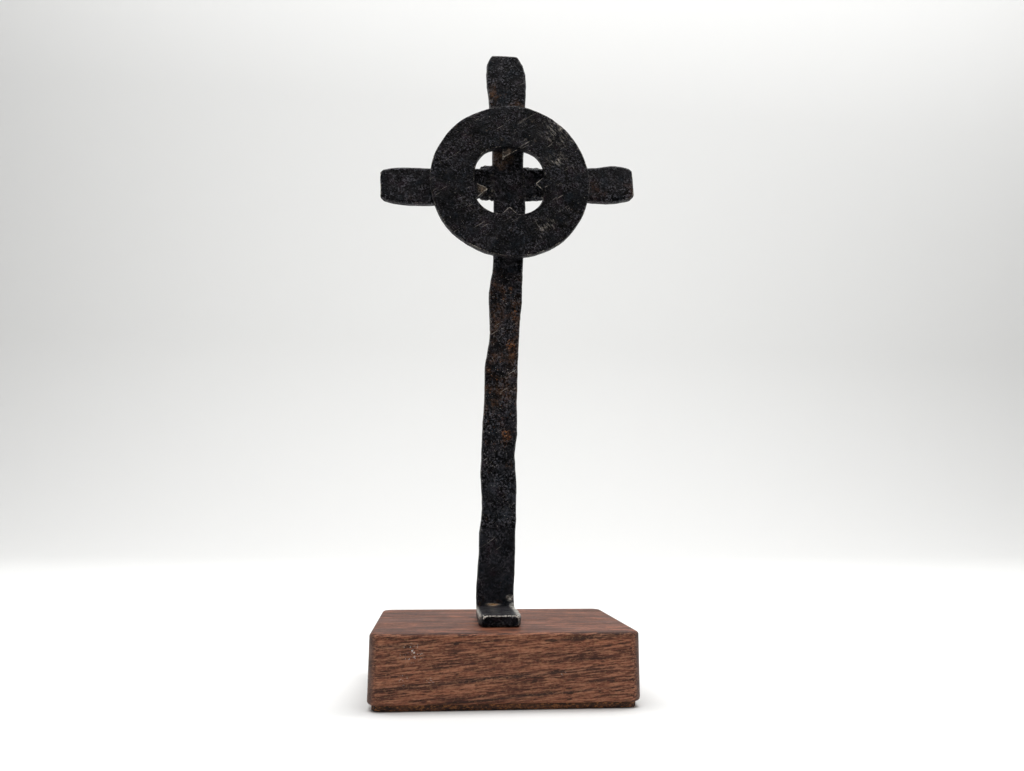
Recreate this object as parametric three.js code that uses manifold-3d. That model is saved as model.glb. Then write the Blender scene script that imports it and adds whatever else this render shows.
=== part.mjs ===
// Forged iron ring-headed cross on a walnut block. Millimetres, +Z up, the front faces -Y.
// The origin is the middle of the base pad's underside.
import * as THREE from 'three';
import { mergeVertices } from 'three/addons/utils/BufferGeometryUtils.js';
import Module from 'manifold-3d';

const wasm = await Module();
wasm.setup();

// Base: a walnut block on a thin pad
const padThick = 2.2;
const padInset = 1.6;
const padCorner = 4;
const blockWide = 101.6;
const blockDeep = 76.2;
const blockHigh = 25;
const blockCorner = 4.8;
const blockEase = 1.3;

// Flat bar that both members are forged from
const barWide = 15.9;
const barThick = 4.8;
const barEase = 1.1;
const toeEase = 0.8;
const hammerDepth = 0.35;
const hammerPitch = 21;

// Upright: stands on a foot bent forward out of its lower end
const uprightHigh = 266.1;
const uprightFront = 8;
const uprightSway = 5.1;
const uprightShift = -1;
const footReach = 31.8;
const bendInside = 3;

// Crossbar, its middle the top arm's height below the upright's top
const crossbarLong = 121.4;
const topArm = 65.9;
const crossbarMiddle = uprightHigh - topArm;
const crossbarTilt = 2.4;
const lapGap = 0.3;

// Ring laid on the front of both bars, with four pointed tacks into its hole
const ringWide = 75.8;
const ringHole = 35.2;
const ringThick = 4;
const ringEase = 0.6;
const ringShift = 0.6;
const ringDrop = 0.8;
const ringHoleShift = -0.5;
const ringHoleDrop = 0.3;
const tackLong = 6.2;
const tackWide = 7.4;
const tackThick = 3.4;
const tackBlunt = 0.1;

// Smoothness of the facets
const stationsPerPitch = 4.2;
const cornerSteps = 5;
const ringSteps = 96;
const bendSteps = 8;

const blackIron = new THREE.MeshStandardMaterial({ color: 0x1f1e20, roughness: 0.62, metalness: 0.75 });
const ringIron = new THREE.MeshStandardMaterial({ color: 0x1a1a1c, roughness: 0.6, metalness: 0.75 });
const crossIron = new THREE.MeshStandardMaterial({ color: 0x232122, roughness: 0.62, metalness: 0.75 });
const walnut = new THREE.MeshStandardMaterial({ color: 0x6d4636, roughness: 0.68, metalness: 0 });
const leather = new THREE.MeshStandardMaterial({ color: 0x492f24, roughness: 0.85, metalness: 0 });

// Helpers

function solidOf(geometry) {
  const bare = geometry.clone();
  bare.deleteAttribute('normal');
  bare.deleteAttribute('uv');
  const welded = mergeVertices(bare, 1e-4);
  return new wasm.Manifold(new wasm.Mesh({
    numProp: 3,
    vertProperties: Float32Array.from(welded.attributes.position.array),
    triVerts: Uint32Array.from(welded.index.array),
  }));
}

function geometryOf(solid) {
  const mesh = solid.getMesh();
  const geometry = new THREE.BufferGeometry();
  geometry.setAttribute('position', new THREE.BufferAttribute(Float32Array.from(mesh.vertProperties), 3));
  geometry.setIndex(new THREE.BufferAttribute(Uint32Array.from(mesh.triVerts), 1));
  geometry.computeVertexNormals();
  return geometry;
}

function named(name, geometry, material) {
  const mesh = new THREE.Mesh(geometry, material);
  mesh.name = name;
  return mesh;
}

// A value read off a short table of [share, value] rows, eased between rows
function along(table, share) {
  let i = 0;
  while (i < table.length - 2 && share > table[i + 1][0]) i += 1;
  const [a, va] = table[i];
  const [b, vb] = table[i + 1];
  const t = THREE.MathUtils.smoothstep(share, a, b);
  return va + (vb - va) * t;
}

// Bar thickness after hammering: blows thin it by turns, out of step with each other
function hammeredThick(length) {
  const turn = (2 * Math.PI * length) / hammerPitch;
  return barThick - hammerDepth * (0.5 + 0.3 * Math.sin(turn) + 0.2 * Math.sin(turn * 1.6 + 1));
}

function hammerSteps(length) {
  return Math.round((length * stationsPerPitch) / hammerPitch);
}

// Flat bar section with eased edges, as [across, through] pairs
function barSection(wide, thick, ease) {
  const e = Math.min(ease, 0.45 * wide, 0.45 * thick);
  const points = [];
  [[1, 1], [-1, 1], [-1, -1], [1, -1]].forEach(([sx, sy], corner) => {
    for (let k = 0; k <= 2; k += 1) {
      const angle = ((corner + k / 2) * Math.PI) / 2;
      points.push([
        sx * (wide / 2 - e) + e * Math.cos(angle),
        sy * (thick / 2 - e) + e * Math.sin(angle),
      ]);
    }
  });
  return points;
}

// Skin over bar sections set one after another. A station has its middle, its across and through
// directions, and its own width, thickness and edge ease.
function forgedBar(stations) {
  const rings = stations.map(({ middle, across, through, wide, thick, ease }) => (
    barSection(wide, thick, ease).map(([u, v]) => (
      middle.clone().addScaledVector(across, u).addScaledVector(through, v)
    ))
  ));
  const count = rings[0].length;
  const positions = rings.flat().flatMap((p) => [p.x, p.y, p.z]);
  const faces = [];
  for (let s = 0; s < rings.length - 1; s += 1) {
    for (let k = 0; k < count; k += 1) {
      const a = s * count + k;
      const b = s * count + ((k + 1) % count);
      faces.push(a, b, b + count, a, b + count, a + count);
    }
  }
  const last = (rings.length - 1) * count;
  for (let k = 1; k < count - 1; k += 1) {
    faces.push(0, k + 1, k);
    faces.push(last, last + k, last + k + 1);
  }
  const geometry = new THREE.BufferGeometry();
  geometry.setAttribute('position', new THREE.Float32BufferAttribute(positions, 3));
  geometry.setIndex(faces);
  return geometry;
}

function roundedPlan(wide, deep, corner) {
  const shape = new THREE.Shape();
  const x = wide / 2 - corner;
  const y = deep / 2 - corner;
  shape.absarc(x, y, corner, 0, Math.PI / 2);
  shape.absarc(-x, y, corner, Math.PI / 2, Math.PI);
  shape.absarc(-x, -y, corner, Math.PI, Math.PI * 1.5);
  shape.absarc(x, -y, corner, Math.PI * 1.5, Math.PI * 2);
  return shape;
}

function slab(shape, thick, ease, steps) {
  const geometry = new THREE.ExtrudeGeometry(shape, {
    depth: thick - 2 * ease,
    bevelEnabled: ease > 0,
    bevelThickness: ease,
    bevelSize: ease,
    bevelOffset: -ease,
    bevelSegments: 2,
    curveSegments: steps,
  });
  return geometry.translate(0, 0, ease);
}

// Base

const basePad = named('base_pad',
  slab(roundedPlan(blockWide - 2 * padInset, blockDeep - 2 * padInset, padCorner), padThick, 0, cornerSteps),
  leather);

const walnutBase = named('walnut_base',
  slab(roundedPlan(blockWide, blockDeep, blockCorner), blockHigh, blockEase, cornerSteps),
  walnut);
walnutBase.position.z = padThick;

// Ironwork, with its origin on the top of the block

const across = new THREE.Vector3(-1, 0, 0);
const barMid = uprightFront + barThick / 2;
const bendMid = bendInside + barThick / 2;
const heelHigh = barThick + bendInside;

// Shapes of the forging: a share of the member's length, then a share of its sway or of the bar's width
const uprightDrift = [[0, 0], [0.09, 0.14], [0.15, 0.27], [0.24, 0.14], [0.28, 0.27], [0.39, 0.36], [0.46, 0.65], [0.53, 0.7], [0.59, 0.92], [0.69, 1], [0.79, 0.8], [0.9, 0.72], [0.95, 0.62], [1, 0.4]];
const uprightSpread = [[0, 1.03], [0.09, 1], [0.15, 0.96], [0.2, 1], [0.245, 0.925], [0.28, 1], [0.33, 0.94], [0.4, 0.95], [0.46, 0.845], [0.53, 0.975], [0.58, 0.89], [0.7, 0.95], [0.79, 0.94], [0.9, 1.12], [0.945, 1.22], [0.965, 1.22], [0.982, 1.13], [0.993, 0.98], [1, 0.8]];
const footSpread = [[0, 0.87], [0.05, 0.96], [0.17, 1.05], [0.5, 1.07], [1, 1.04]];
const crossbarDrift = [[0, -0.09], [0.2, -0.13], [0.4, 0.01], [0.58, 0.03], [0.875, -0.04], [0.95, 0], [1, 0]];
const crossbarSpread = [[0, 0.77], [0.013, 0.95], [0.046, 1.09], [0.1, 1.14], [0.22, 1.12], [0.4, 0.85], [0.6, 0.84], [0.82, 1.06], [0.91, 1.18], [0.95, 1.15], [0.985, 1.0], [1, 0.82]];
const ringFlats = [[3, 0.006, -2.36], [5, 0.003, 1.1], [8, 0.003, 2]];
const holeFlats = [[4, -0.05, Math.PI / 2]];

// Where the upright's middle stands, and how wide it is, at a height above the block
function uprightShare(z) {
  return (z - heelHigh) / (uprightHigh - heelHigh);
}

function uprightMiddleX(z) {
  return uprightShift + uprightSway * along(uprightDrift, uprightShare(z));
}

function uprightStations() {
  const stations = [];
  const footX = uprightMiddleX(heelHigh);
  const toeY = uprightFront - footReach;
  const bendY = uprightFront - bendInside;
  const footLong = bendY - toeY;
  for (const share of [0, 0.03, 0.1, 0.2, 0.35, 0.5, 0.65, 0.8, 0.92]) {
    stations.push({
      middle: new THREE.Vector3(footX, toeY + footLong * share, barThick / 2),
      through: new THREE.Vector3(0, 0, 1),
      wide: barWide * along(footSpread, share),
      thick: share === 0 ? barThick - toeEase : barThick,
    });
  }
  for (let i = 0; i <= bendSteps; i += 1) {
    const turn = (Math.PI / 2) * (i / bendSteps);
    stations.push({
      middle: new THREE.Vector3(footX, bendY + bendMid * Math.sin(turn), heelHigh - bendMid * Math.cos(turn)),
      through: new THREE.Vector3(0, -Math.sin(turn), Math.cos(turn)),
      wide: barWide * footSpread.at(-1)[1],
      thick: barThick,
    });
  }
  const rise = uprightHigh - heelHigh;
  const count = hammerSteps(rise);
  const shares = [];
  for (let i = 1; i < count; i += 1) shares.push((0.96 * i) / count);
  shares.push(0.966, 0.975, 0.983, 0.99, 0.996, 1);
  for (const share of shares) {
    const z = heelHigh + rise * share;
    const thick = hammeredThick(rise * share) - (share === 1 ? toeEase : 0);
    stations.push({
      middle: new THREE.Vector3(uprightMiddleX(z), uprightFront + thick / 2, z),
      through: new THREE.Vector3(0, -1, 0),
      wide: barWide * along(uprightSpread, share),
      thick,
    });
  }
  return stations.map((s) => ({ ...s, across, ease: barEase }));
}

const uprightAtCross = uprightMiddleX(crossbarMiddle);

// The space a bar takes out of the other one where they are lapped: the bar with square edges,
// wider and thicker by the gap on every side
function lapSpace(stations) {
  return stations.map((s) => ({
    ...s,
    middle: new THREE.Vector3(s.middle.x, barMid, s.middle.z),
    wide: s.wide + 2 * lapGap,
    thick: barThick + 2 * lapGap,
    ease: lapGap / 10,
  }));
}

function crossbarStations() {
  const tilt = THREE.MathUtils.degToRad(crossbarTilt);
  const alongBar = new THREE.Vector3(Math.cos(tilt), 0, Math.sin(tilt));
  const upBar = new THREE.Vector3(-Math.sin(tilt), 0, Math.cos(tilt));
  const start = new THREE.Vector3(uprightAtCross, uprightFront, crossbarMiddle);
  const count = hammerSteps(crossbarLong);
  const shares = [0, 0.012, 0.03];
  for (let i = 1; i < count; i += 1) shares.push(0.03 + (0.94 * i) / count);
  shares.push(0.97, 0.988, 1);
  return shares.map((share) => {
    const thick = hammeredThick(crossbarLong * share) - (share === 0 || share === 1 ? toeEase : 0);
    return {
      middle: start.clone()
        .addScaledVector(alongBar, crossbarLong * (share - 0.5))
        .addScaledVector(upBar, barWide * along(crossbarDrift, share))
        .add(new THREE.Vector3(0, thick / 2, 0)),
      across: upBar,
      through: new THREE.Vector3(0, -1, 0),
      wide: barWide * along(crossbarSpread, share),
      thick,
      ease: barEase,
    };
  });
}

// Half-lapped crossing: the upright keeps its front half, the crossbar its back half
function halfBox(fromY, toY) {
  const box = new THREE.BoxGeometry(crossbarLong, toY - fromY, crossbarLong);
  box.translate(uprightAtCross, (fromY + toY) / 2, crossbarMiddle);
  return solidOf(box);
}

const uprightSolid = solidOf(forgedBar(uprightStations()));
const crossbarSolid = solidOf(forgedBar(crossbarStations()));
const uprightSpace = solidOf(forgedBar(lapSpace(uprightStations().filter((s) => s.middle.y > uprightFront))));
const crossbarSpace = solidOf(forgedBar(lapSpace(crossbarStations())));
const frontHalf = halfBox(uprightFront - barThick, barMid + lapGap / 2);
const backHalf = halfBox(barMid - lapGap / 2, uprightFront + 2 * barThick);
const upright = named('upright',
  geometryOf(uprightSolid.subtract(crossbarSpace.intersect(backHalf))),
  blackIron);
const crossbar = named('crossbar',
  geometryOf(crossbarSolid.subtract(uprightSpace.intersect(frontHalf))),
  crossIron);

// Ring

// A hand-forged round: a circle with shallow flats, each [waves, depth as a share of the radius, phase]
function forgedRound(path, radius, flats, x, y) {
  for (let i = 0; i < ringSteps; i += 1) {
    const angle = (2 * Math.PI * i) / ringSteps;
    const dent = flats.reduce((sum, [waves, depth, phase]) => sum + depth * Math.sin(waves * angle + phase), 0);
    const r = radius * (1 + dent);
    if (i === 0) path.moveTo(x + r * Math.cos(angle), y + r * Math.sin(angle));
    else path.lineTo(x + r * Math.cos(angle), y + r * Math.sin(angle));
  }
  path.closePath();
  return path;
}

// The four tacks: the way each points in from the hole's edge, how far it reaches as a share of
// the tack's length, and how far its tip leans to one side as a share of half the tack's width
const tacks = [
  { turn: -1.6, long: 0.78, tipLean: -0.1 },
  { turn: 88.5, long: 0.94, tipLean: 0.92 },
  { turn: 197, long: 1, tipLean: 0.3 },
  { turn: 270.5, long: 0.75, tipLean: 0 },
];

function tackSolid({ turn, long, tipLean }) {
  const r = ringHole / 2;
  const half = tackWide / 2;
  const root = r * Math.cos(Math.asin(half / r)) * (1 + holeFlats[0][1]);
  const buried = r + ringEase + barEase;
  const shape = new THREE.Shape();
  shape.moveTo(buried, -half);
  shape.lineTo(buried, half);
  shape.lineTo(root, half);
  shape.lineTo(r - tackLong * long, half * (tipLean + tackBlunt));
  shape.lineTo(r - tackLong * long, half * (tipLean - tackBlunt));
  shape.lineTo(root, -half);
  const geometry = new THREE.ExtrudeGeometry(shape, { depth: tackThick, bevelEnabled: false });
  geometry.rotateZ(THREE.MathUtils.degToRad(turn));
  geometry.translate(ringHoleShift, -ringHoleDrop, 0);
  return solidOf(geometry);
}

const ringShape = forgedRound(new THREE.Shape(), ringWide / 2, ringFlats, 0, 0);
ringShape.holes.push(forgedRound(new THREE.Path(), ringHole / 2, holeFlats, ringHoleShift, -ringHoleDrop));
const ringSolid = tacks.reduce(
  (solid, tack) => solid.add(tackSolid(tack)),
  solidOf(slab(ringShape, ringThick, ringEase, 1)),
);
const ring = named('ring', geometryOf(ringSolid), ringIron);
ring.rotation.x = Math.PI / 2;
ring.position.set(uprightAtCross + ringShift, uprightFront, crossbarMiddle - ringDrop);

const ironwork = new THREE.Group();
ironwork.position.z = padThick + blockHigh;
ironwork.add(upright, crossbar, ring);

const cross = new THREE.Group();
cross.name = 'ring_cross';
cross.add(basePad, walnutBase, ironwork);

export default cross;
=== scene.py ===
"""Forged iron ring-headed cross on a walnut block, dressed over its frame."""
import math

import bmesh
import bpy
import numpy as np
from mathutils import Matrix, Vector


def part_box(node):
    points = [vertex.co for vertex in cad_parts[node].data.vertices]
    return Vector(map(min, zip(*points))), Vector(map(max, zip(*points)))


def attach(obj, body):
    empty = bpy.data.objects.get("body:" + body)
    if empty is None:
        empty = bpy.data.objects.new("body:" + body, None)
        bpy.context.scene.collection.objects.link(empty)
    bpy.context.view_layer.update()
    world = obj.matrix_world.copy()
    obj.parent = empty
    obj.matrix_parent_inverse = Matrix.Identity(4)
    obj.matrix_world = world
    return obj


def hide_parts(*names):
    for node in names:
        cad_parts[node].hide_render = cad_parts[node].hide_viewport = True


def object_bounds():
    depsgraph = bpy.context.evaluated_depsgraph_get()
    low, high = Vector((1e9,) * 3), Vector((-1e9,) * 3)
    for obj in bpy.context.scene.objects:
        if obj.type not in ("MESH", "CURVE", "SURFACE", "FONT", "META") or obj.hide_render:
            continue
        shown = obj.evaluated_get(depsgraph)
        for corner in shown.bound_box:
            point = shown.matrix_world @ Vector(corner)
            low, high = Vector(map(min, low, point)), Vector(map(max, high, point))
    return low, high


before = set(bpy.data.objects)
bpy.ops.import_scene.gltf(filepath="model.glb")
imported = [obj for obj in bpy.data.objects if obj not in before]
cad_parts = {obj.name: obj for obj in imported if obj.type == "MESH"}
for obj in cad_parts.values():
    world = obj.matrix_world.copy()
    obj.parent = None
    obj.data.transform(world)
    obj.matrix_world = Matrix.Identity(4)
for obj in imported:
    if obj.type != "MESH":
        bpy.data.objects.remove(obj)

MM = 0.001
CAD_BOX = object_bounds()

# Camera that took the picture
CAMERA_PLACE_MM = (-26.6, -326.52, 69.21)
CAMERA_YAW = math.radians(5.511)
CAMERA_PITCH = math.radians(10.027)
CAMERA_ROLL = math.radians(0.349)
CAMERA_FOCAL_PX = 750.0
CAMERA_SENSOR_MM = 36.0
IMAGE_WIDE_PX = 1024

# Base, in mm, and the steps in its rounded edges
BLOCK_EDGE = 1.3
BLOCK_CORNER = 4.8
BLOCK_EDGE_STEPS = 5
PAD_EDGE = 0.35
PAD_CORNER = 4.0
PAD_EDGE_STEPS = 3
CORNER_STEPS = 8
WALL_STEPS = 8

# Forging, in mm
IRON_GRAIN_MM = 0.42
HAMMER_FACE_MM = 9.0
HAMMER_DENT_MM = 0.4
LUMP_MM = 3.4
SMALL_LUMP_MM = 1.7
RIPPLE_MM = 1.1
PIT_MM = 1.5
IRON_BUMP_MM = 2.2

# Forging, as shares
BLOWS_PER_FACE = 1.6
MOST_BLOWS = 1500
PIT_LEVEL = 0.45
RIPPLE_DEPTH = 0.35
PIT_DEPTH = 2.2

# Walnut grain, in degrees: how far it climbs to the right, and how far it runs off the block's width
GRAIN_RISE = 4.5
GRAIN_DRIFT = 4.0

# Marks on the walnut's front, each (x, z, half width, half height)
DARK_BANDS = (
    (0.0, 11.6, 52.0, 0.9), (-36.0, 26.0, 13.0, 1.3), (36.0, 22.9, 16.0, 0.8), (10.0, 4.5, 40.0, 0.6),
)
DUST_SPOTS = (
    (-35.0, 20.5, 4.0, 3.0), (-37.5, 11.0, 1.5, 2.0), (-28.0, 11.0, 2.0, 1.0), (21.0, 13.0, 1.0, 1.0),
)

# Marks on the iron, some of them painted highlights, each (x, z, half width, half height)
RUST_SPOTS = ((5.1, 146.6, 4.5, 8.0), (3.1, 105.1, 4.0, 6.5), (6.5, 164.0, 2.0, 8.0))
SCORCHED_SPOTS = ((0.0, 238.5, 8.0, 8.0), (7.0, 264.0, 6.0, 10.0), (-4.5, 272.0, 2.5, 13.0))
BLUED_SPOTS = ((-1.0, 122.0, 8.0, 13.0), (0.0, 76.0, 9.0, 16.0))
# Worn spots on the foot's left edge and right corner; the last spot is a painted highlight on the bend
FOOT_RUBS_AND_HIGHLIGHT = ((-10.2, 31.2, 1.5, 1.6), (6.4, 32.0, 1.5, 1.2), (5.4, 35.2, 1.8, 1.3))
# Painted highlight: the copper-coloured glint in the hollow of the foot's bend
COPPER_HIGHLIGHT_SPOT = ((-2.1, 32.6, 3.0, 0.5),)
ARM_BROWNS = ((46.0, 226.0, 6.0, 9.0), (62.0, 227.0, 4.0, 9.0))
# Rubs on the ring's right side, partly painted highlights on its rim
RING_RUBS_AND_HIGHLIGHTS = ((28.0, 252.5, 9.0, 7.0), (20.4, 204.8, 5.0, 3.5), (26.2, 237.3, 6.0, 4.0))
TACK_BROWNS = ((-9.0, 221.5, 4.5, 4.5), (2.7, 240.0, 4.0, 4.0))
# Painted highlights: glints along the ring's tack edges, put in as extra edge wear
TACK_EDGE_HIGHLIGHTS = (
    (-9.0, 221.5, 6.0, 6.0), (3.7, 239.5, 7.0, 5.0), (17.0, 224.5, 5.0, 6.0), (3.8, 212.0, 7.0, 5.0),
)
CROSSING = ((3.4, 227.5, 15.0, 10.0),)

# Bands of height on the upright, each (from, to, how softly it ends)
RUST_BAND = (95, 188, 14)
HEAT_BAND = (112, 182, 16)
THIN_SCALE_BAND = (20, 62, 6)
SMOOTH_BAND = (33, 98, 6)
HEAD_BAND = (240, 320, 10)
SCORCHED_BAND = (226, 252, 5)
FLECK_BAND = (62, 185, 8)
FOOT_BEND_BAND = (30.2, 33, 0.8)

# Weld runs at the crossing, each from (x, z) to (x, z), then how far forward, count and bead size
WELD_RUNS = (
    ((-9.5, 234.5), (-4.8, 234.9), 9.8, 8, 1.3), ((11.6, 235.2), (19.0, 234.6), 10.0, 9, 1.3),
    ((-9.2, 220.3), (-3.8, 219.9), 11.2, 10, 1.2), ((11.2, 220.3), (20.0, 221.2), 11.2, 14, 1.2),
    ((-9.0, 220.9), (-4.2, 220.6), 9.6, 8, 1.2), ((11.4, 221.0), (19.6, 221.7), 9.6, 12, 1.2),
    ((-4.3, 220.8), (-4.8, 234.0), 9.0, 22, 1.5), ((11.4, 220.8), (11.3, 234.5), 9.0, 22, 1.4),
)
WELD_JITTER_MM = 0.35

# Iron colours
PLUM_TINT = 0x2E2229
BLUE_TINT = 0x1C242B
DARK_RUST = 0x4A211A
SEAM_GREY = 0x4C4A4E
SCALE_BLACK = 0x040404
PIT_BLACK = 0x010101
FLAKE_GREY = 0x77757A
GRAIN_GREY = 0x65646A
# Bright of worn iron, also the colour of painted highlights
WEAR_AND_HIGHLIGHT_BRIGHT = 0xD8CFC2
# Near-white of the foot's worn edges and of its painted highlight
FOOT_WEAR_AND_HIGHLIGHT = 0xE4DED4
# Colour of the painted highlight in the foot's bend
COPPER_HIGHLIGHT = 0xF0C08A

# Upright colours
UPRIGHT_GREY = 0x2C2B2F
HEAD_GREY = 0x232124
SMOOTH_GREY = 0x36373D
BLUED_GREY = 0x3C4249
UPRIGHT_BLACK = 0x121215
SMOOTH_BLACK = 0x242529
HEAT_BROWN = 0x6A4B34
SCORCHED_TAN = 0x7A6452
UPRIGHT_RUST = 0xA86C36

# Crossbar colours
CROSSBAR_BLACK = 0x111114
CROSSBAR_GREY = 0x313033
CROSSBAR_BROWN = 0x4E382E
CROSSBAR_RUST = 0x54361F

# Ring colours
RING_BLACK = 0x060607
RING_GREY = 0x1E1E22
RING_GRAIN = 0x504F55
RING_RUST = 0x3E2B20
TACK_TAN = 0x7C6C5C

# Walnut colours
WALNUT_DARK = 0x583024
WALNUT_LIGHT = 0x965C43
BLOTCH_BROWN = 0x744836
BAND_BROWN = 0x34241F
STREAK_DARK = 0x3A2420
STREAK_LIGHT = 0xA87154
FIBRE_DARK = 0x2C1912
FIBRE_LIGHT = 0xBA8061
SPECK_DARK = 0x3C261D
SPECK_LIGHT = 0xB5855F
PORE_BROWN = 0x1E110B
END_DARK = 0x42302A
END_LIGHT = 0x6B5045
END_SPECK = 0x2A1B15
# Painted shade over the walnut's top face: a pale multiply and darker streaks
TOP_SHADE_PALE = 0xF0DAC8
TOP_SHADE_STREAK = 0x9A8578
DUST_GREY = 0xD9D4CC

# Pad colours
PAD_DARK = 0x38231A
PAD_LIGHT = 0x7A5038
PAD_GRAIN = 0xB0764A
PAD_CREASE = 0x1A100B

# Paper sweep, in metres
SWEEP_HALF_WIDE = 3.0
SWEEP_FRONT = -1.6
SWEEP_FLAT_END = 1.0
SWEEP_CURVE = 0.5
SWEEP_TOP = 2.4
SWEEP_STEPS = 24
PAPER_WHITE = (0.84, 0.84, 0.83, 1)

# Studio light: places, aims and sizes in metres
OVERHEAD_PLACE = (0.0, -0.05, 1.15)
OVERHEAD_AIM = (0, -0.05, 0)
OVERHEAD_SIZE = (1.4, 1.0)
OVERHEAD_WATTS = 14.3
BACKDROP_PLACE = (0.48, 0.4, 2.2)
BACKDROP_AIM = (0.48, 1.6, 0.6)
BACKDROP_SIZE = (3.8, 0.8)
BACKDROP_WATTS = 43.0
ROOM_LIGHT = 0.12
ROOM_SEEN = 0.78

# Sockets of Blender's colour Mix node
MIX_FIRST = 6
MIX_SECOND = 7
MIX_RESULT = 2


# Shapes

def smooth_noise(points, size, seed):
    """Soft random value from -1 to 1 at each point, with lumps of about this size."""
    grid = points / size + seed * 17.31
    cell = np.floor(grid).astype(np.int64)
    part = grid - cell
    part = part * part * (3 - 2 * part)
    total = np.zeros(len(points))
    for dx in (0, 1):
        for dy in (0, 1):
            for dz in (0, 1):
                corner = cell + (dx, dy, dz)
                mixed = (corner[:, 0] * 73856093) ^ (corner[:, 1] * 19349663) ^ (corner[:, 2] * 83492791)
                mixed = (mixed ^ (mixed >> 13)) * 1274126177
                value = ((mixed ^ (mixed >> 16)) & 0xFFFF) / 32767.5 - 1
                share_x = part[:, 0] if dx else 1 - part[:, 0]
                share_y = part[:, 1] if dy else 1 - part[:, 1]
                share_z = part[:, 2] if dz else 1 - part[:, 2]
                total += value * share_x * share_y * share_z
    return total


def hammer_dents(points, size, seed):
    """Overlapping round hammer faces: 0 on the ridges between them, 1 in the middle of each."""
    rng = np.random.default_rng(seed)
    low, high = points.min(0) - size, points.max(0) + size
    count = int(np.prod((high - low) / size) * BLOWS_PER_FACE)
    blows = rng.uniform(low, high, (min(count, MOST_BLOWS), 3))
    nearest = np.full(len(points), 9.0)
    for blow in blows:
        away = ((points - blow) ** 2).sum(1) / size ** 2
        nearest = np.minimum(nearest, away)
    return 1 - np.clip(nearest, 0, 1)


def mesh_arrays(mesh):
    """The mesh's points, their normals and its edges."""
    points = np.empty(len(mesh.vertices) * 3)
    mesh.vertices.foreach_get("co", points)
    normals = np.empty(len(mesh.vertices) * 3)
    mesh.vertices.foreach_get("normal", normals)
    edges = np.empty(len(mesh.edges) * 2, dtype=np.int64)
    mesh.edges.foreach_get("vertices", edges)
    return points.reshape(-1, 3), normals.reshape(-1, 3), edges.reshape(-1, 2)


def blurred(values, edges, rounds):
    """Each value evened out with its neighbours' along the mesh edges."""
    count = np.bincount(edges.ravel(), minlength=len(values)).astype(float)
    for _ in range(rounds):
        total = np.bincount(edges[:, 0], values[edges[:, 1]], len(values))
        total += np.bincount(edges[:, 1], values[edges[:, 0]], len(values))
        values = 0.4 * values + 0.6 * total / count
    return values


def edge_sharpness(points, normals, edges):
    """How far each point stands out from its neighbours: above 0 on ridges, below 0 in hollows."""
    across = points[edges[:, 1]] - points[edges[:, 0]]
    length = np.linalg.norm(across, axis=1) + 1e-9
    bend = np.bincount(edges[:, 0], (across * normals[edges[:, 0]]).sum(1) / length, len(points))
    bend -= np.bincount(edges[:, 1], (across * normals[edges[:, 1]]).sum(1) / length, len(points))
    return blurred(-bend / np.bincount(edges.ravel(), minlength=len(points)), edges, 1)


def put_attribute(mesh, name, values):
    """Keeps one number for each point, for the materials to read."""
    layer = mesh.attributes.new(name, "FLOAT", "POINT")
    layer.data.foreach_set("value", np.asarray(values, dtype=np.float32))


def add_object(name, mesh):
    """A new object in the scene with this mesh."""
    piece = bpy.data.objects.new(name, mesh)
    bpy.context.scene.collection.objects.link(piece)
    return piece


def copy_of_node(node, name):
    """A new object with the CAD node's shape, in the row frame."""
    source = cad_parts[node]
    mesh = source.data.copy()
    mesh.transform(source.matrix_world)
    mesh.materials.clear()
    return add_object(name, mesh)


def apply_modifiers(piece):
    """Gives the piece the mesh that its modifiers make."""
    bpy.context.view_layer.update()
    depsgraph = bpy.context.evaluated_depsgraph_get()
    mesh = bpy.data.meshes.new_from_object(piece.evaluated_get(depsgraph))
    piece.modifiers.clear()
    piece.data = mesh


def add_weld_runs(piece, runs, seed):
    """Ragged runs of small weld beads set into the piece's surface."""
    rng = np.random.default_rng(seed)
    work = bmesh.new()
    work.from_mesh(piece.data)
    for (x0, z0), (x1, z1), forward, count, size in runs:
        for share in np.linspace(0, 1, count):
            place = Vector((x0 + (x1 - x0) * share, forward, z0 + (z1 - z0) * share))
            place += Vector(rng.uniform(-WELD_JITTER_MM, WELD_JITTER_MM, 3))
            radius = size * rng.uniform(0.7, 1.1) * MM
            matrix = Matrix.Translation(place * MM)
            bmesh.ops.create_icosphere(work, subdivisions=2, radius=radius, matrix=matrix)
    work.to_mesh(piece.data)
    work.free()


def forge(piece, seed, dent, lumps, pits):
    """Turns a plain solid into hand-forged iron: hammer dents, soft lumps and scale pits, in mm."""
    remesh = piece.modifiers.new("even skin", "REMESH")
    remesh.mode = "VOXEL"
    remesh.voxel_size = IRON_GRAIN_MM * MM
    remesh.use_smooth_shade = True
    apply_modifiers(piece)
    mesh = piece.data
    points, normals, edges = mesh_arrays(mesh)
    local = points / MM
    dents = hammer_dents(local, HAMMER_FACE_MM, seed)
    rough = smooth_noise(local, LUMP_MM, seed + 1) * 0.6 + smooth_noise(local, SMALL_LUMP_MM, seed + 2) * 0.4
    fine = smooth_noise(local, RIPPLE_MM, seed + 3)
    pitted = -np.clip(smooth_noise(local, PIT_MM, seed + 4) - PIT_LEVEL, 0, 1)
    move = -dent * dents + lumps * rough + RIPPLE_DEPTH * pits * fine + PIT_DEPTH * pits * pitted
    move = move - move.mean()
    low, high = np.array(CAD_BOX[0]), np.array(CAD_BOX[1])
    points = np.clip(points + normals * (move * MM)[:, None], low, high)
    mesh.vertices.foreach_set("co", points.ravel())
    mesh.update()
    points, normals, edges = mesh_arrays(mesh)
    ridge = edge_sharpness(points, normals, edges)
    put_attribute(mesh, "ridge", ridge / np.percentile(ridge, 98))
    put_attribute(mesh, "dent", dents)
    for face in mesh.polygons:
        face.use_smooth = True


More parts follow.
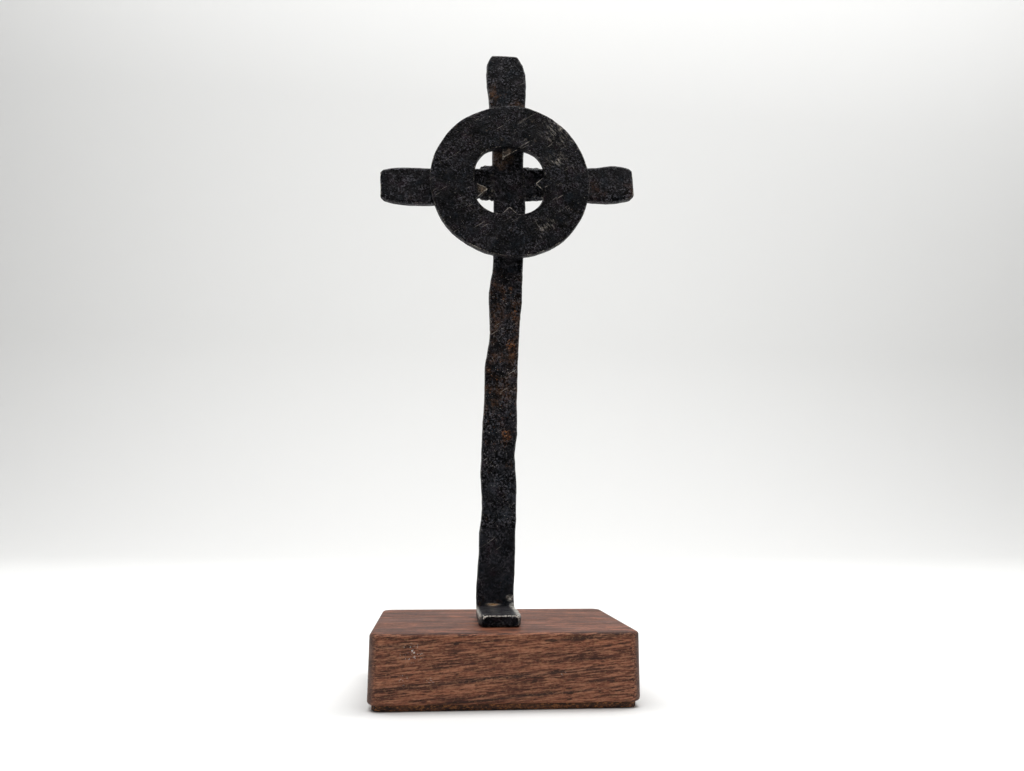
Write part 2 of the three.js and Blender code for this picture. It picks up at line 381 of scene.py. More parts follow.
def rounded_slab(name, low, high, corner, edge, steps):
    """A block with rounded corners and eased edges, as an even grid of faces."""
    work = bmesh.new()
    wide, deep = (high[0] - low[0]) / 2, (high[1] - low[1]) / 2
    middle = ((high[0] + low[0]) / 2, (high[1] + low[1]) / 2)
    profile = [(low[2] + edge * (1 - math.cos(t)), edge * (1 - math.sin(t)))
               for t in (math.pi / 2 * k / steps for k in range(steps + 1))]
    wall = high[2] - low[2] - 2 * edge
    profile += [(low[2] + edge + wall * k / WALL_STEPS, 0.0) for k in range(1, WALL_STEPS)]
    profile += [(high[2] - edge * (1 - math.sin(t)), edge * (1 - math.cos(t)))
                for t in (math.pi / 2 * k / steps for k in range(steps + 1))]
    rings = []
    for z, inset in profile:
        ring = []
        radius = max(corner - inset, edge * 0.2)
        for quarter, (sx, sy) in enumerate(((1, 1), (-1, 1), (-1, -1), (1, -1))):
            cx = middle[0] + sx * (wide - inset - radius)
            cy = middle[1] + sy * (deep - inset - radius)
            for k in range(CORNER_STEPS + 1):
                turn = math.pi / 2 * (quarter + k / CORNER_STEPS)
                ring.append(work.verts.new((cx + radius * math.cos(turn), cy + radius * math.sin(turn), z)))
        rings.append(ring)
    for lower, upper in zip(rings, rings[1:]):
        for k in range(len(lower)):
            nxt = (k + 1) % len(lower)
            work.faces.new((lower[k], lower[nxt], upper[nxt], upper[k]))
    work.faces.new(rings[0][::-1])
    work.faces.new(rings[-1])
    mesh = bpy.data.meshes.new(name)
    work.to_mesh(mesh)
    work.free()
    for face in mesh.polygons:
        face.use_smooth = len(face.vertices) == 4
    return add_object(name, mesh)


# Materials

class NodeBook:
    """Writes the nodes of one material or group, left to right."""

    def __init__(self, tree):
        self.tree = tree
        self.column = 0

    def add(self, kind, **values):
        node = self.tree.nodes.new(kind)
        self.column += 1
        node.location = (self.column * 180, 0)
        for name, value in values.items():
            if hasattr(node, name):
                setattr(node, name, value)
            else:
                node.inputs[name.replace("_", " ")].default_value = value
        return node

    def link(self, source, target):
        self.tree.links.new(source, target)

    def feed(self, socket, value):
        if isinstance(value, (int, float, tuple)):
            socket.default_value = value
        else:
            self.link(value, socket)

    def math(self, operation, a, b=0.0, clamp=False):
        node = self.add("ShaderNodeMath", operation=operation, use_clamp=clamp)
        self.feed(node.inputs[0], a)
        self.feed(node.inputs[1], b)
        return node.outputs[0]

    def mix(self, factor, a, b, blend="MIX"):
        node = self.add("ShaderNodeMix", data_type="RGBA", blend_type=blend)
        self.feed(node.inputs["Factor"], factor)
        self.feed(node.inputs[MIX_FIRST], a)
        self.feed(node.inputs[MIX_SECOND], b)
        return node.outputs[MIX_RESULT]

    def ramp(self, factor, low, high, start=0.0, end=1.0):
        node = self.add("ShaderNodeMapRange", interpolation_type="SMOOTHSTEP")
        self.feed(node.inputs["Value"], factor)
        node.inputs["From Min"].default_value = low
        node.inputs["From Max"].default_value = high
        node.inputs["To Min"].default_value = start
        node.inputs["To Max"].default_value = end
        return node.outputs["Result"]

    def noise(self, place, size_mm, detail=3.0, rough=0.55, stretch=(1, 1, 1), shift=(0, 0, 0), turn=0):
        """Noise with lumps of this size, drawn out along the axes and turned about Y by degrees."""
        if turn:
            turned = self.add("ShaderNodeMapping")
            turned.inputs["Rotation"].default_value = (0.0, math.radians(turn), 0.0)
            self.link(place, turned.inputs["Vector"])
            place = turned.outputs[0]
        mapping = self.add("ShaderNodeMapping")
        self.link(place, mapping.inputs["Vector"])
        mapping.inputs["Scale"].default_value = [1 / (MM * size_mm * s) for s in stretch]
        mapping.inputs["Location"].default_value = shift
        node = self.add("ShaderNodeTexNoise", Scale=1.0, Detail=detail, Roughness=rough)
        self.link(mapping.outputs[0], node.inputs["Vector"])
        return node.outputs["Fac"]

    def attribute(self, name):
        return self.add("ShaderNodeAttribute", attribute_name=name).outputs["Fac"]


def shade(hex_colour):
    """Linear colour from an sRGB hex number."""
    parts = [(hex_colour >> step & 255) / 255 for step in (16, 8, 0)]
    return tuple(c / 12.92 if c <= 0.04045 else ((c + 0.055) / 1.055) ** 2.4 for c in parts) + (1.0,)


def new_group(name, inputs, outputs):
    """A shader node group with named inputs and outputs, and the book that writes it."""
    group = bpy.data.node_groups.new(name, "ShaderNodeTree")
    for label, kind, value in inputs:
        socket = group.interface.new_socket(label, in_out="INPUT", socket_type=kind)
        if value is not None:
            socket.default_value = value
    for label, kind in outputs:
        group.interface.new_socket(label, in_out="OUTPUT", socket_type=kind)
    book = NodeBook(group)
    return group, book, book.add("NodeGroupInput"), book.add("NodeGroupOutput")


def place_group(book, group, **values):
    """The group, placed in a material with its own values."""
    node = book.add("ShaderNodeGroup", node_tree=group)
    for name, value in values.items():
        book.feed(node.inputs[name.replace("_", " ")], value)
    return node


def forged_skin_group():
    """Blackened forged iron: fire scale, tints, rust, scratches, worn bright ridges and scattered flecks; the
    bright ridges and rubbed spots also carry painted highlights.
    """
    group, book, given, out = new_group(
        "forged skin",
        [("Place", "NodeSocketVector", None), ("Ridge", "NodeSocketFloat", 0.0),
         ("Dent", "NodeSocketFloat", 0.5),
         ("Black", "NodeSocketColor", None), ("Grey", "NodeSocketColor", None),
         ("Grain", "NodeSocketColor", shade(GRAIN_GREY)),
         ("Rust", "NodeSocketColor", None), ("Brown", "NodeSocketColor", None),
         ("Bright", "NodeSocketColor", shade(WEAR_AND_HIGHLIGHT_BRIGHT)),
         ("Rust amount", "NodeSocketFloat", 0.2), ("Brown amount", "NodeSocketFloat", 0.2),
         ("Wear and highlight amount", "NodeSocketFloat", 0.5), ("Fleck amount", "NodeSocketFloat", 0.5),
         ("Scale amount", "NodeSocketFloat", 1.0),
         ("Rub and highlight spot", "NodeSocketFloat", 0.0)],
        [("Color", "NodeSocketColor"), ("Roughness", "NodeSocketFloat"), ("Height", "NodeSocketFloat"),
         ("Metal", "NodeSocketFloat")])
    place = given.outputs["Place"]
    cloud = book.noise(place, 9.0, 3.0, 0.55)
    tint = book.noise(place, 6.5, 3.0, 0.6, shift=(3, 8, 2))
    plate = book.noise(place, 5.5, 4.0, 0.62, shift=(1, 3, 7))
    scale = book.noise(place, 2.4, 4.0, 0.68)
    grain = book.noise(place, 0.85, 3.0, 0.7, shift=(4, 4, 9))
    grit = book.noise(place, 0.55, 2.0, 0.6, shift=(6, 0, 3))
    coarse = book.ramp(book.noise(place, 7.0, 3.0, 0.6, shift=(8, 8, 1)), 0.4, 0.62, 0.25, 1.0)
    coarse = book.math("MULTIPLY", coarse, given.outputs["Scale amount"])
    colour = book.mix(book.ramp(cloud, 0.38, 0.62), given.outputs["Black"], given.outputs["Grey"])
    colour = book.mix(book.ramp(tint, 0.52, 0.68, 0.0, 0.7), colour, shade(PLUM_TINT))
    colour = book.mix(book.ramp(tint, 0.48, 0.32, 0.0, 0.7), colour, shade(BLUE_TINT))

    brown = book.noise(place, 5.0, 4.0, 0.6, shift=(9, 2, 5))
    brown_low = book.math("SUBTRACT", 0.72, book.math("MULTIPLY", given.outputs["Brown amount"], 0.4))
    brown = book.math("MULTIPLY", book.math("SUBTRACT", brown, brown_low), 5.0, clamp=True)
    brown = book.math("MULTIPLY", brown, book.ramp(grit, 0.4, 0.58, 0.3, 0.95))
    colour = book.mix(brown, colour, given.outputs["Brown"])
    rust_patch = book.noise(place, 2.2, 6.0, 0.82, shift=(7, 3, 1))
    rust_low = book.math("SUBTRACT", 0.78, book.math("MULTIPLY", given.outputs["Rust amount"], 0.42))
    rust = book.math("MULTIPLY", book.math("SUBTRACT", rust_patch, rust_low), 8.0, clamp=True)
    rust = book.math("MULTIPLY", rust, book.ramp(grit, 0.42, 0.56, 0.0, 1.0))
    rust_colour = book.mix(book.ramp(grain, 0.52, 0.44, 0.0, 0.9), given.outputs["Rust"], shade(DARK_RUST))
    colour = book.mix(rust, colour, rust_colour)

    seams = book.ramp(given.outputs["Dent"], 0.35, 0.05)
    seams = book.math("MULTIPLY", seams, book.ramp(cloud, 0.4, 0.6, 0.1, 0.6))
    colour = book.mix(seams, colour, shade(SEAM_GREY))
    dark_scale = book.math("MULTIPLY", book.ramp(scale, 0.56, 0.4, 0.0, 0.8), given.outputs["Scale amount"])
    colour = book.mix(dark_scale, colour, shade(SCALE_BLACK))
    light_grain = book.math("MULTIPLY", book.ramp(grain, 0.535, 0.6, 0.0, 0.82), coarse)
    colour = book.mix(light_grain, colour, given.outputs["Grain"])
    dark_grain = book.math("MULTIPLY", book.ramp(grain, 0.505, 0.46, 0.0, 1.0), coarse)
    colour = book.mix(dark_grain, colour, shade(PIT_BLACK))
    flake = book.math("ABSOLUTE", book.math("SUBTRACT", plate, 0.5))
    flake = book.math("MULTIPLY", book.ramp(flake, 0.014, 0.0), book.ramp(tint, 0.45, 0.58, 0.05, 0.6))
    flake = book.math("MULTIPLY", flake, book.ramp(grit, 0.44, 0.56, 0.1, 1.0))
    colour = book.mix(flake, colour, shade(FLAKE_GREY))

    # Bright edges and rubbed spots: real wear, and painted highlights where the amounts run high
    broken = book.ramp(book.noise(place, 5.0, 5.0, 0.75, shift=(2, 9, 4)), 0.44, 0.6)
    wear_and_highlight_share = book.math("MULTIPLY", broken, given.outputs["Wear and highlight amount"])
    fully_bright_edges = book.math("SUBTRACT", given.outputs["Wear and highlight amount"], 1.0, clamp=True)
    wear_and_highlight_share = book.math("ADD", wear_and_highlight_share, fully_bright_edges, clamp=True)
    edge_wear_and_highlight = book.math("MULTIPLY", book.ramp(given.outputs["Ridge"], 0.6, 1.2), wear_and_highlight_share)
    edge_wear_and_highlight = book.math("MULTIPLY", edge_wear_and_highlight, book.ramp(grit, 0.44, 0.54, 0.08, 1.0))
    rub_and_highlight = book.math("MULTIPLY", given.outputs["Rub and highlight spot"], book.ramp(scale, 0.4, 0.58, 0.3, 1.0))
    rub_and_highlight = book.math("MULTIPLY", rub_and_highlight, book.ramp(grit, 0.42, 0.56, 0.3, 1.0))
    scratch = book.noise(place, 0.45, 1.0, 0.5, stretch=(20, 2, 1), shift=(5, 1, 8), turn=34)
    crossed = book.noise(place, 0.4, 1.0, 0.5, stretch=(15, 2, 1), shift=(1, 6, 2), turn=-61)
    scratch = book.math("MAXIMUM", book.ramp(scratch, 0.66, 0.8), book.ramp(crossed, 0.68, 0.82))
    scratch = book.math("MULTIPLY", scratch, book.ramp(tint, 0.44, 0.62, 0.0, 0.6))
    scratch = book.math("MULTIPLY", scratch, given.outputs["Fleck amount"], clamp=True)
    fleck_low = book.math("SUBTRACT", 0.8, book.math("MULTIPLY", given.outputs["Fleck amount"], 0.17))
    fleck = book.math("SUBTRACT", book.noise(place, 0.62, 2.0, 0.6, shift=(5, 5, 8)), fleck_low)
    fleck = book.math("MULTIPLY", fleck, 12.0, clamp=True)
    fleck = book.math("MULTIPLY", fleck, book.ramp(scale, 0.4, 0.55, 0.25, 0.85))
    bright = book.math("MAXIMUM", book.math("MAXIMUM", edge_wear_and_highlight, fleck), book.math("MAXIMUM", scratch, rub_and_highlight))
    colour = book.mix(bright, colour, given.outputs["Bright"])
    book.link(colour, out.inputs["Color"])

    rough = book.math("ADD", book.ramp(scale, 0.35, 0.65, 0.36, 0.58), book.math("MULTIPLY", rust, 0.3))
    book.link(book.math("SUBTRACT", rough, book.math("MULTIPLY", bright, 0.06)), out.inputs["Roughness"])
    height = book.math("ADD", scale, book.math("MULTIPLY", grain, 0.7))
    height = book.math("ADD", height, book.ramp(plate, 0.48, 0.52, 0.0, 0.06))
    height = book.math("ADD", height, book.math("MULTIPLY", grit, 0.3))
    height = book.math("SUBTRACT", height, book.math("MULTIPLY", scratch, 0.15))
    book.link(height, out.inputs["Height"])
    book.link(book.math("SUBTRACT", 0.88, book.math("MULTIPLY", rust, 0.7)), out.inputs["Metal"])
    return group


def near(book, place, spots):
    """1 inside spots of the front or back, each (x, z, half width, half height) in mm, easing to 0."""
    nearest = None
    for x, z, half_wide, half_high in spots:
        apart = book.add("ShaderNodeVectorMath", operation="SUBTRACT")
        book.link(place, apart.inputs[0])
        apart.inputs[1].default_value = (x * MM, 0.0, z * MM)
        shares = book.add("ShaderNodeVectorMath", operation="MULTIPLY")
        book.link(apart.outputs[0], shares.inputs[0])
        shares.inputs[1].default_value = (1 / (half_wide * MM), 0.0, 1 / (half_high * MM))
        length = book.add("ShaderNodeVectorMath", operation="LENGTH")
        book.link(shares.outputs[0], length.inputs[0])
        spot = book.ramp(length.outputs["Value"], 1.4, 0.2)
        nearest = spot if nearest is None else book.math("MAXIMUM", nearest, spot)
    return nearest


def iron_material(name, group, black, grey, brown, rust, amounts):
    """Forged iron. Each colour or amount is one value, or a function that varies it over the surface."""
    material = bpy.data.materials.new(name)
    material.use_nodes = True
    tree = material.node_tree
    shader = tree.nodes["Principled BSDF"]
    book = NodeBook(tree)
    place = book.add("ShaderNodeTexCoord").outputs["Object"]
    greys = grey(book, place) if callable(grey) else shade(grey)
    blacks = black(book, place) if callable(black) else shade(black)
    browns = brown(book, place) if callable(brown) else shade(brown)
    skin = place_group(book, group, Place=place, Ridge=book.attribute("ridge"), Dent=book.attribute("dent"),
                       Black=blacks, Grey=greys, Brown=browns, Rust=shade(rust))
    for label, amount in amounts.items():
        book.feed(skin.inputs[label], amount(book, place) if callable(amount) else amount)
    book.link(skin.outputs["Color"], shader.inputs["Base Color"])
    book.link(skin.outputs["Roughness"], shader.inputs["Roughness"])
    book.link(skin.outputs["Metal"], shader.inputs["Metallic"])
    shader.inputs["Specular IOR Level"].default_value = 0.15
    bumps = book.add("ShaderNodeBump", Strength=1.0, Distance=IRON_BUMP_MM * MM)
    book.link(skin.outputs["Height"], bumps.inputs["Height"])
    book.link(bumps.outputs[0], shader.inputs["Normal"])
    return material


def along_height(book, place, band, outside, inside):
    """One value inside a band of heights on the object, another outside it."""
    low_mm, high_mm, soft_mm = band
    split = book.add("ShaderNodeSeparateXYZ")
    book.link(place, split.inputs[0])
    height = split.outputs["Z"]
    rise = book.ramp(height, (low_mm - soft_mm) * MM, (low_mm + soft_mm) * MM)
    fall = book.ramp(height, (high_mm - soft_mm) * MM, (high_mm + soft_mm) * MM, 1.0, 0.0)
    share = book.math("MULTIPLY", rise, fall)
    spread = book.math("MULTIPLY", share, inside - outside)
    return book.math("ADD", spread, outside)


def upright_rust(book, place):
    """Rust on the middle of the shaft, thickest in its spots."""
    band = along_height(book, place, RUST_BAND, 0.1, 0.52)
    return book.math("MAXIMUM", band, book.math("MULTIPLY", near(book, place, RUST_SPOTS), 0.9))


def upright_brown(book, place):
    """Brown from heat on the middle of the shaft and where it was scorched."""
    band = along_height(book, place, HEAT_BAND, 0.2, 0.72)
    return book.math("MAXIMUM", band, near(book, place, SCORCHED_SPOTS))


def upright_scale(book, place):
    """Thinner fire scale low on the shaft."""
    return along_height(book, place, THIN_SCALE_BAND, 1.0, 0.5)


def upright_grey(book, place):
    """The lighter iron: greyer low down where it is smooth, blued in places, darker at the head."""
    smooth = along_height(book, place, SMOOTH_BAND, 0.0, 1.0)
    at_head = along_height(book, place, HEAD_BAND, 0.0, 1.0)
    colour = book.mix(at_head, shade(UPRIGHT_GREY), shade(HEAD_GREY))
    colour = book.mix(smooth, colour, shade(SMOOTH_GREY))
    return book.mix(near(book, place, BLUED_SPOTS), colour, shade(BLUED_GREY))


def upright_black(book, place):
    """The darker iron, less dark where it is smooth."""
    smooth = along_height(book, place, SMOOTH_BAND, 0.0, 1.0)
    return book.mix(smooth, shade(UPRIGHT_BLACK), shade(SMOOTH_BLACK))


def upright_tan(book, place):
    """The brown of heat, paler at the scorched crossing."""
    scorched = along_height(book, place, SCORCHED_BAND, 0.0, 1.0)
    return book.mix(scorched, shade(HEAT_BROWN), shade(SCORCHED_TAN))


def upright_flecks(book, place):
    """More bright flecks on the shaft than on its ends."""
    return along_height(book, place, FLECK_BAND, 0.45, 0.85)


def upright_rubs_and_highlights(book, place):
    """Spots rubbed bright on the foot, and painted highlights on its bend."""
    copper_highlight = book.math("MULTIPLY", near(book, place, COPPER_HIGHLIGHT_SPOT), 2.0)
    return book.math("MAXIMUM", book.math("MULTIPLY", near(book, place, FOOT_RUBS_AND_HIGHLIGHT), 1.5), copper_highlight)


def upright_bright_and_highlight(book, place):
    """Bright worn iron, with a painted copper-coloured highlight at one spot on the bend."""
    return book.mix(near(book, place, COPPER_HIGHLIGHT_SPOT), shade(FOOT_WEAR_AND_HIGHLIGHT), shade(COPPER_HIGHLIGHT))


def upright_wear(book, place):
    """Edges worn brightest on the foot."""
    return along_height(book, place, FOOT_BEND_BAND, 0.4, 2.0)


def crossbar_brown(book, place):
    """Brown marks on the right arm, and a little everywhere."""
    return book.math("ADD", book.math("MULTIPLY", near(book, place, ARM_BROWNS), 0.6), 0.2)


def crossbar_wear(book, place):
    """Worn edges, but hardly any at the crossing."""
    return book.math("SUBTRACT", 0.7, book.math("MULTIPLY", near(book, place, CROSSING), 0.6))


def ring_brown(book, place):
    """Tan on two of the tacks, and a little everywhere."""
    return book.math("ADD", book.math("MULTIPLY", near(book, place, TACK_BROWNS), 0.75), 0.2)


def ring_wear_and_highlights(book, place):
    """Worn edges, also painted highlights, brightest along the tacks' edges."""
    return book.math("ADD", book.math("MULTIPLY", near(book, place, TACK_EDGE_HIGHLIGHTS), 1.3), 0.7)


def ring_rubs_and_highlights(book, place):
    """Slanting rubs on the ring's face, which also paint the highlights on its right-hand rim."""
    streak = book.noise(place, 1.1, 4.0, 0.7, stretch=(3.5, 2, 1), shift=(2, 5, 5), turn=-46)
    streak = book.ramp(streak, 0.5, 0.64)
    return book.math("MULTIPLY", near(book, place, RING_RUBS_AND_HIGHLIGHTS), book.math("MULTIPLY", streak, 0.65))


def walnut_material():
    """Oiled walnut sawn along the block's width: bands, streaks, fibres, pores, darker end grain, and painted
    shade darkening the top face.
    """
    material = bpy.data.materials.new("oiled walnut")
    material.use_nodes = True
    tree = material.node_tree
    shader = tree.nodes["Principled BSDF"]
    book = NodeBook(tree)
    where = book.add("ShaderNodeTexCoord")
    turned = book.add("ShaderNodeMapping")
    turned.inputs["Rotation"].default_value = (0.0, math.radians(GRAIN_RISE), math.radians(GRAIN_DRIFT))
    book.link(where.outputs["Object"], turned.inputs["Vector"])
    place = turned.outputs[0]
    bands = book.noise(place, 4.0, 4.0, 0.6, stretch=(20, 2.4, 1))
    streaks = book.noise(place, 1.25, 4.0, 0.65, stretch=(22, 3.6, 1), shift=(3, 1, 2))
    fibres = book.noise(place, 0.62, 3.0, 0.7, stretch=(42, 1.2, 1), shift=(8, 3, 5))
    pores = book.noise(place, 0.5, 2.0, 0.5, stretch=(12, 1, 1), shift=(1, 4, 6))
    speckle = book.noise(place, 0.6, 3.0, 0.7, stretch=(2, 1, 1), shift=(4, 4, 1))
    blotch = book.noise(place, 17.0, 3.0, 0.5, stretch=(2.2, 1, 1))
    colour = book.mix(book.ramp(bands, 0.34, 0.64), shade(WALNUT_DARK), shade(WALNUT_LIGHT))
    colour = book.mix(book.ramp(blotch, 0.35, 0.7, 0.0, 0.35), colour, shade(BLOTCH_BROWN))
    dark_bands = book.math("MULTIPLY", near(book, place, DARK_BANDS), book.ramp(speckle, 0.3, 0.6, 0.6, 0.95))
    colour = book.mix(dark_bands, colour, shade(BAND_BROWN))
    colour = book.mix(book.ramp(streaks, 0.53, 0.66, 0.0, 0.6), colour, shade(STREAK_DARK))
    colour = book.mix(book.ramp(streaks, 0.45, 0.3, 0.0, 0.45), colour, shade(STREAK_LIGHT))
    colour = book.mix(book.ramp(fibres, 0.51, 0.59, 0.0, 0.72), colour, shade(FIBRE_DARK))
    colour = book.mix(book.ramp(fibres, 0.48, 0.4, 0.0, 0.6), colour, shade(FIBRE_LIGHT))
    colour = book.mix(book.ramp(speckle, 0.5, 0.66, 0.0, 0.45), colour, shade(SPECK_DARK))
    colour = book.mix(book.ramp(speckle, 0.48, 0.36, 0.0, 0.3), colour, shade(SPECK_LIGHT))
    colour = book.mix(book.ramp(pores, 0.6, 0.67, 0.0, 0.85), colour, shade(PORE_BROWN))
    facing = book.add("ShaderNodeSeparateXYZ")
    book.link(where.outputs["Normal"], facing.inputs[0])
    end_grain = book.ramp(book.math("ABSOLUTE", facing.outputs["X"]), 0.3, 0.8)
    rings = book.noise(where.outputs["Object"], 2.6, 4.0, 0.6, stretch=(1, 6, 1), shift=(2, 2, 7))
    end_colour = book.mix(book.ramp(rings, 0.38, 0.62), shade(END_DARK), shade(END_LIGHT))
    end_colour = book.mix(book.ramp(speckle, 0.5, 0.7, 0.0, 0.6), end_colour, shade(END_SPECK))
    colour = book.mix(book.math("MULTIPLY", end_grain, 0.85), colour, end_colour)
    dust = book.ramp(book.noise(place, 0.7, 2.0, 0.5, shift=(6, 1, 1)), 0.61, 0.65)
    dust = book.math("MULTIPLY", dust, near(book, where.outputs["Object"], DUST_SPOTS))
    # Painted shade: faces that look up are multiplied darker, in streaks
    upward = book.ramp(facing.outputs["Z"], 0.5, 0.95)
    top_streaks = book.noise(place, 3.0, 3.0, 0.65, stretch=(22, 1.5, 1), shift=(5, 7, 2))
    top_shade_tone = book.mix(book.ramp(top_streaks, 0.42, 0.6), shade(TOP_SHADE_PALE), shade(TOP_SHADE_STREAK))
    top_shaded_colour = book.mix(1.0, colour, top_shade_tone, "MULTIPLY")
    colour = book.mix(book.math("MULTIPLY", upward, 0.9), colour, top_shaded_colour)
    colour = book.mix(book.math("MULTIPLY", dust, 0.8), colour, shade(DUST_GREY))
    book.link(colour, shader.inputs["Base Color"])
    book.link(book.ramp(bands, 0.3, 0.7, 0.62, 0.5), shader.inputs["Roughness"])
    shader.inputs["Specular IOR Level"].default_value = 0.25
    height = book.math("SUBTRACT", book.math("MULTIPLY", fibres, 0.5), book.ramp(pores, 0.58, 0.72))
    bumps = book.add("ShaderNodeBump", Strength=0.5, Distance=0.12 * MM)
    book.link(height, bumps.inputs["Height"])
    book.link(bumps.outputs[0], shader.inputs["Normal"])
    return material


def pad_material():
    """Brown leather: cloudy tone, lighter grain and dark creases."""
    material = bpy.data.materials.new("brown leather pad")
    material.use_nodes = True
    tree = material.node_tree
    shader = tree.nodes["Principled BSDF"]
    book = NodeBook(tree)
    place = book.add("ShaderNodeTexCoord").outputs["Object"]
    tone = book.noise(place, 8.0, 4.0, 0.6, stretch=(2, 1, 0.4))
    grain = book.noise(place, 0.8, 3.0, 0.6, stretch=(1.5, 1, 0.6))
    colour = book.mix(book.ramp(tone, 0.38, 0.62), shade(PAD_DARK), shade(PAD_LIGHT))
    colour = book.mix(book.ramp(grain, 0.51, 0.62, 0.0, 0.8), colour, shade(PAD_GRAIN))
    colour = book.mix(book.ramp(grain, 0.46, 0.36, 0.0, 0.7), colour, shade(PAD_CREASE))
    book.link(colour, shader.inputs["Base Color"])
    book.link(book.ramp(grain, 0.3, 0.7, 0.72, 0.9), shader.inputs["Roughness"])
    bumps = book.add("ShaderNodeBump", Strength=0.5, Distance=0.15 * MM)
    book.link(grain, bumps.inputs["Height"])
    book.link(bumps.outputs[0], shader.inputs["Normal"])
    return material


# Pieces

def make_upright(material):
    """The upright bar, bent forward at the bottom into its foot."""
    piece = copy_of_node("upright", "forged_upright")
    forge(piece, seed=3, dent=HAMMER_DENT_MM, lumps=0.13, pits=0.06)
    piece.data.materials.append(material)
    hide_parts("upright")
    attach(piece, "root")


def make_crossbar(material):
    """The crossbar behind the upright, with the welds of the crossing."""
    piece = copy_of_node("crossbar", "forged_crossbar")
    add_weld_runs(piece, WELD_RUNS, seed=5)
    forge(piece, seed=11, dent=HAMMER_DENT_MM, lumps=0.12, pits=0.06)
    piece.data.materials.append(material)
    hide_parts("crossbar")
    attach(piece, "root")


def make_ring(material):
    """The flat ring over the crossing, with its four tacks."""
    piece = copy_of_node("ring", "forged_ring")
    forge(piece, seed=23, dent=HAMMER_DENT_MM, lumps=0.14, pits=0.07)
    piece.data.materials.append(material)
    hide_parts("ring")
    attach(piece, "root")


def make_block(material):
    """The walnut block that the cross stands on."""
    low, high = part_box("walnut_base")
    piece = rounded_slab("walnut_block", low, high, BLOCK_CORNER * MM, BLOCK_EDGE * MM, BLOCK_EDGE_STEPS)
    piece.data.materials.append(material)
    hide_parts("walnut_base")
    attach(piece, "root")


def make_pad(material):
    """The thin pad under the block."""
    low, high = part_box("base_pad")
    piece = rounded_slab("leather_pad", low, high, PAD_CORNER * MM, PAD_EDGE * MM, PAD_EDGE_STEPS)
    piece.data.materials.append(material)
    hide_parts("base_pad")
    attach(piece, "root")


# Studio

def make_sweep():
    """White paper: flat under the object, curving up well behind it."""
    profile = [(SWEEP_FRONT, 0.0), (SWEEP_FLAT_END, 0.0)]
    for k in range(1, SWEEP_STEPS + 1):
        turn = math.pi / 2 * k / SWEEP_STEPS
        profile.append((SWEEP_FLAT_END + SWEEP_CURVE * math.sin(turn), SWEEP_CURVE * (1 - math.cos(turn))))
    profile.append((SWEEP_FLAT_END + SWEEP_CURVE, SWEEP_TOP))
    work = bmesh.new()
    rows = [[work.verts.new((x, y, z)) for x in (-SWEEP_HALF_WIDE, SWEEP_HALF_WIDE)] for y, z in profile]
    for a, b in zip(rows, rows[1:]):
        work.faces.new((a[0], a[1], b[1], b[0]))
    mesh = bpy.data.meshes.new("sweep")
    work.to_mesh(mesh)
    work.free()
    for face in mesh.polygons:
        face.use_smooth = True
    sweep = add_object("paper_sweep", mesh)
    paper = bpy.data.materials.new("white paper")
    paper.use_nodes = True
    shader = paper.node_tree.nodes["Principled BSDF"]
    shader.inputs["Base Color"].default_value = PAPER_WHITE
    shader.inputs["Roughness"].default_value = 0.9
    shader.inputs["Specular IOR Level"].default_value = 0.1
    mesh.materials.append(paper)


def area_light(name, place, target, size, power):
    """A soft box of light, aimed at the target."""
    data = bpy.data.lights.new(name, "AREA")
    data.shape = "RECTANGLE"
    data.size, data.size_y = size
    data.energy = power
    lamp = bpy.data.objects.new(name, data)
    bpy.context.scene.collection.objects.link(lamp)
    lamp.location = place
    lamp.rotation_euler = (Vector(target) - Vector(place)).to_track_quat("-Z", "Y").to_euler()


def make_lights():
    """A soft box overhead, one on the backdrop, and a dim room that looks pale where it is seen."""
    area_light("overhead box", OVERHEAD_PLACE, OVERHEAD_AIM, OVERHEAD_SIZE, OVERHEAD_WATTS)
    area_light("backdrop box", BACKDROP_PLACE, BACKDROP_AIM, BACKDROP_SIZE, BACKDROP_WATTS)
    world = bpy.data.worlds.new("dim room")
    bpy.context.scene.world = world
    world.use_nodes = True
    background = world.node_tree.nodes["Background"]
    background.inputs["Color"].default_value = (1, 1, 1, 1)
    book = NodeBook(world.node_tree)
    seen = book.add("ShaderNodeLightPath").outputs["Is Camera Ray"]
    strength = book.math("ADD", book.math("MULTIPLY", seen, ROOM_SEEN - ROOM_LIGHT), ROOM_LIGHT)
    book.link(strength, background.inputs["Strength"])
    bpy.context.scene.view_settings.view_transform = "Standard"


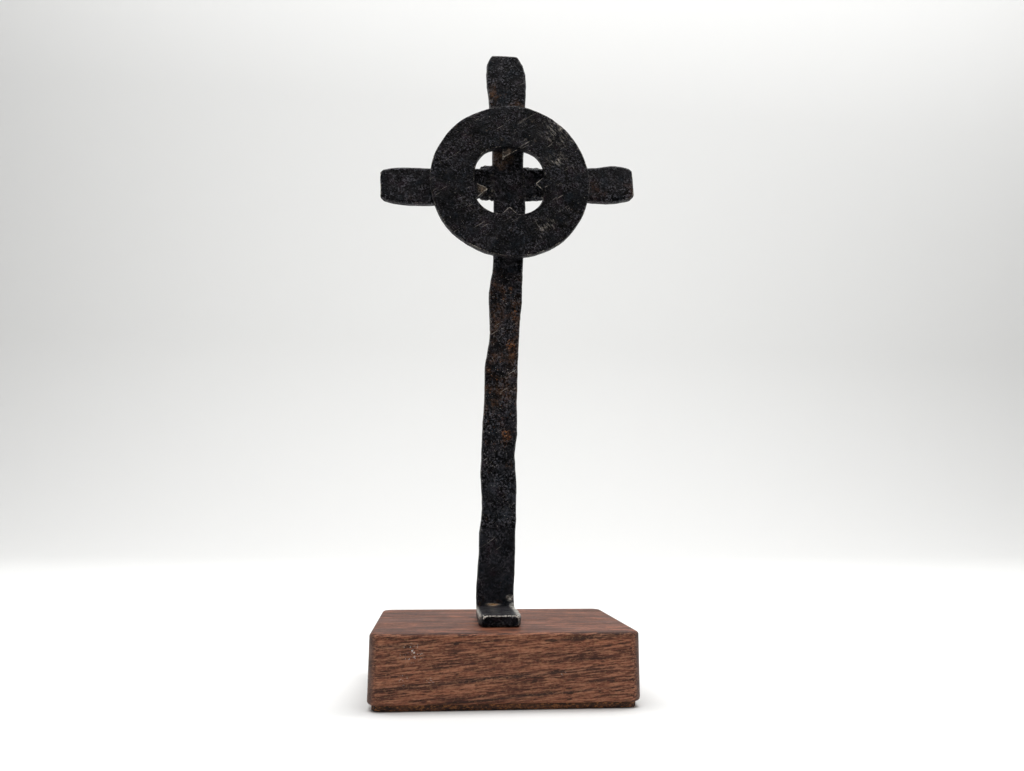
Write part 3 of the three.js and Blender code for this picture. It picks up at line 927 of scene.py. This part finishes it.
def make_camera():
    """The camera at the picture's place, turned and zoomed as it was."""
    data = bpy.data.cameras.new("camera")
    data.sensor_width = CAMERA_SENSOR_MM
    data.lens = CAMERA_FOCAL_PX * CAMERA_SENSOR_MM / IMAGE_WIDE_PX
    data.clip_start = 0.01
    camera = bpy.data.objects.new("camera", data)
    bpy.context.scene.collection.objects.link(camera)
    forward = Vector((math.sin(CAMERA_YAW) * math.cos(CAMERA_PITCH),
                      math.cos(CAMERA_YAW) * math.cos(CAMERA_PITCH), math.sin(CAMERA_PITCH)))
    level = Vector((math.cos(CAMERA_YAW), -math.sin(CAMERA_YAW), 0))
    upward = level.cross(forward)
    right = level * math.cos(CAMERA_ROLL) + upward * math.sin(CAMERA_ROLL)
    top = upward * math.cos(CAMERA_ROLL) - level * math.sin(CAMERA_ROLL)
    turn = Matrix((right, top, -forward)).transposed()
    camera.matrix_world = Matrix.Translation(Vector(CAMERA_PLACE_MM) * MM) @ turn.to_4x4()
    bpy.context.scene.camera = camera


make_camera()
make_sweep()
make_lights()

skin_group = forged_skin_group()
upright_iron = iron_material(
    "upright iron", skin_group, upright_black, upright_grey, upright_tan, UPRIGHT_RUST,
    {"Rust amount": upright_rust, "Brown amount": upright_brown, "Wear and highlight amount": upright_wear,
     "Fleck amount": upright_flecks, "Scale amount": upright_scale, "Rub and highlight spot": upright_rubs_and_highlights,
     "Bright": upright_bright_and_highlight})
crossbar_iron = iron_material(
    "crossbar iron", skin_group, CROSSBAR_BLACK, CROSSBAR_GREY, CROSSBAR_BROWN, CROSSBAR_RUST,
    {"Rust amount": 0.1, "Brown amount": crossbar_brown, "Wear and highlight amount": crossbar_wear,
     "Fleck amount": 0.35})
ring_iron = iron_material(
    "ring iron", skin_group, RING_BLACK, RING_GREY, TACK_TAN, RING_RUST,
    {"Grain": shade(RING_GRAIN), "Rust amount": 0.05, "Brown amount": ring_brown,
     "Wear and highlight amount": ring_wear_and_highlights, "Fleck amount": 0.62, "Rub and highlight spot": ring_rubs_and_highlights})

make_upright(upright_iron)
make_crossbar(crossbar_iron)
make_ring(ring_iron)
make_block(walnut_material())
make_pad(pad_material())
